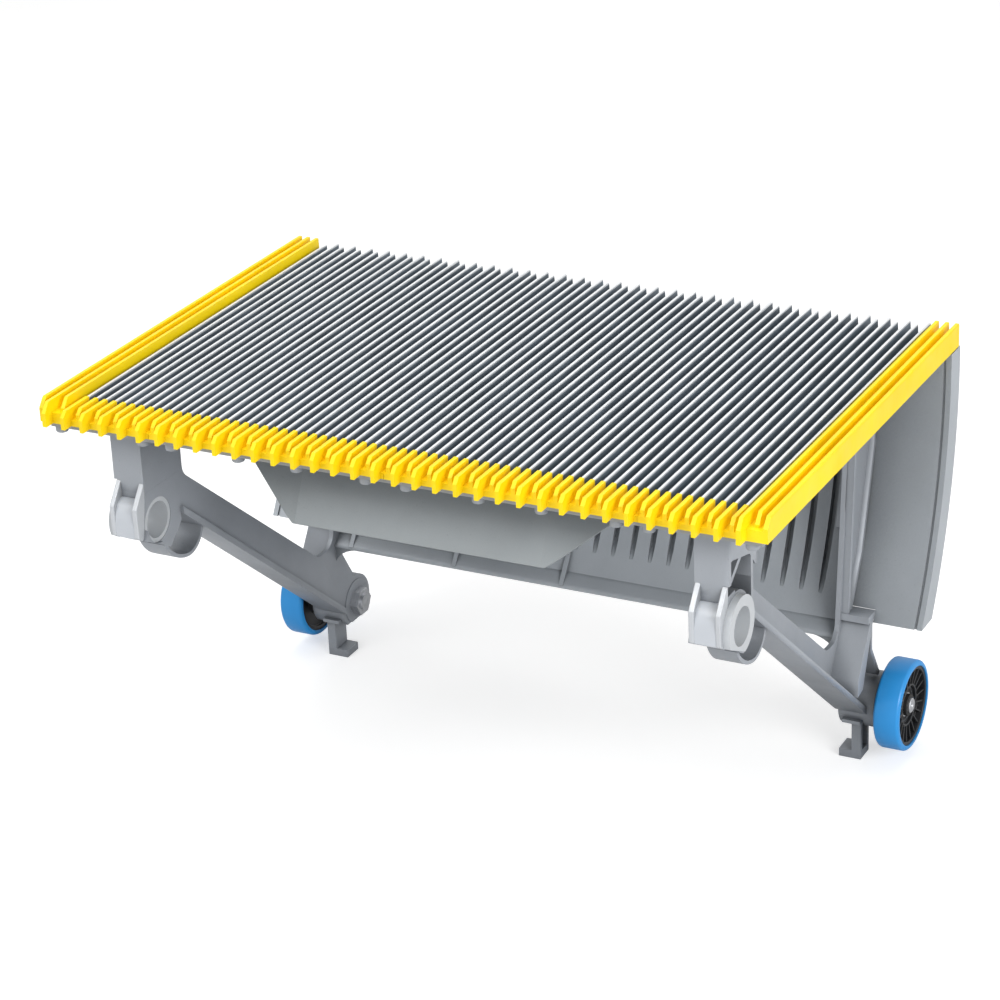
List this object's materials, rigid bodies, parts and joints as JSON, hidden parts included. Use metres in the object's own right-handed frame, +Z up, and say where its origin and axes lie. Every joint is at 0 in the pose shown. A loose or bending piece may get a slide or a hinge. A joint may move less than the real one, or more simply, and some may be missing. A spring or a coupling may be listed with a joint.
{
  "type": "escalator step",
  "caption": "Escalator step with grooved tread, yellow edge strips, curved riser, two side brackets with axle seats, trailer wheels and anti-lift hooks.",
  "frame": {"origin": "middle of the chain axle bore, halfway between the two seats", "axes": "+X across the step along the chain axle, +Y from the rear comb edge to the riser, +Z up out of the tread"},
  "size_m": [0.604, 0.414, 0.3626],
  "materials": {
    "tread_aluminium": "die-cast, cleat tops machined bright",
    "cast_paint": "satin grey paint on die-cast aluminium",
    "yellow_plastic": "moulded, satin",
    "bush_plastic": "moulded, satin",
    "steel": "zinc plated",
    "tyre_polyurethane": "smooth polyurethane",
    "hub_plastic": "moulded, satin"
  },
  "bodies": {
    "step_frame": {"tread_plate": "tread_aluminium", "riser_plate": "cast_paint", "stiffening_web": "cast_paint", "left_outer_rear_strip": "yellow_plastic", "left_inner_rear_strip": "yellow_plastic", "right_inner_rear_strip": "yellow_plastic", "right_outer_rear_strip": "yellow_plastic", "left_side_strip": "yellow_plastic", "right_side_strip": "yellow_plastic", "left_bracket": "cast_paint", "right_bracket": "cast_paint", "axle_seats": "cast_paint", "axle_bushes": "bush_plastic", "seat_caps": "bush_plastic", "bearing_inner_rings": "steel", "wheel_axles": "steel", "wheel_nuts": "steel", "left_hook": "cast_paint", "right_hook": "cast_paint"},
    "left_wheel": {"left_tyre": "tyre_polyurethane", "left_hub": "hub_plastic", "left_bearing_outer_ring": "steel"},
    "right_wheel": {"right_tyre": "tyre_polyurethane", "right_hub": "hub_plastic", "right_bearing_outer_ring": "steel"}
  },
  "joints": [
    {"name": "left_wheel_spin", "type": "hinge", "parent": "step_frame", "child": "left_wheel", "pos_m": [-0.279, 0.295, -0.205], "axis": [1, 0, 0], "continuous": true},
    {"name": "right_wheel_spin", "type": "hinge", "parent": "step_frame", "child": "right_wheel", "pos_m": [0.279, 0.295, -0.205], "axis": [1, 0, 0], "continuous": true}
  ]
}
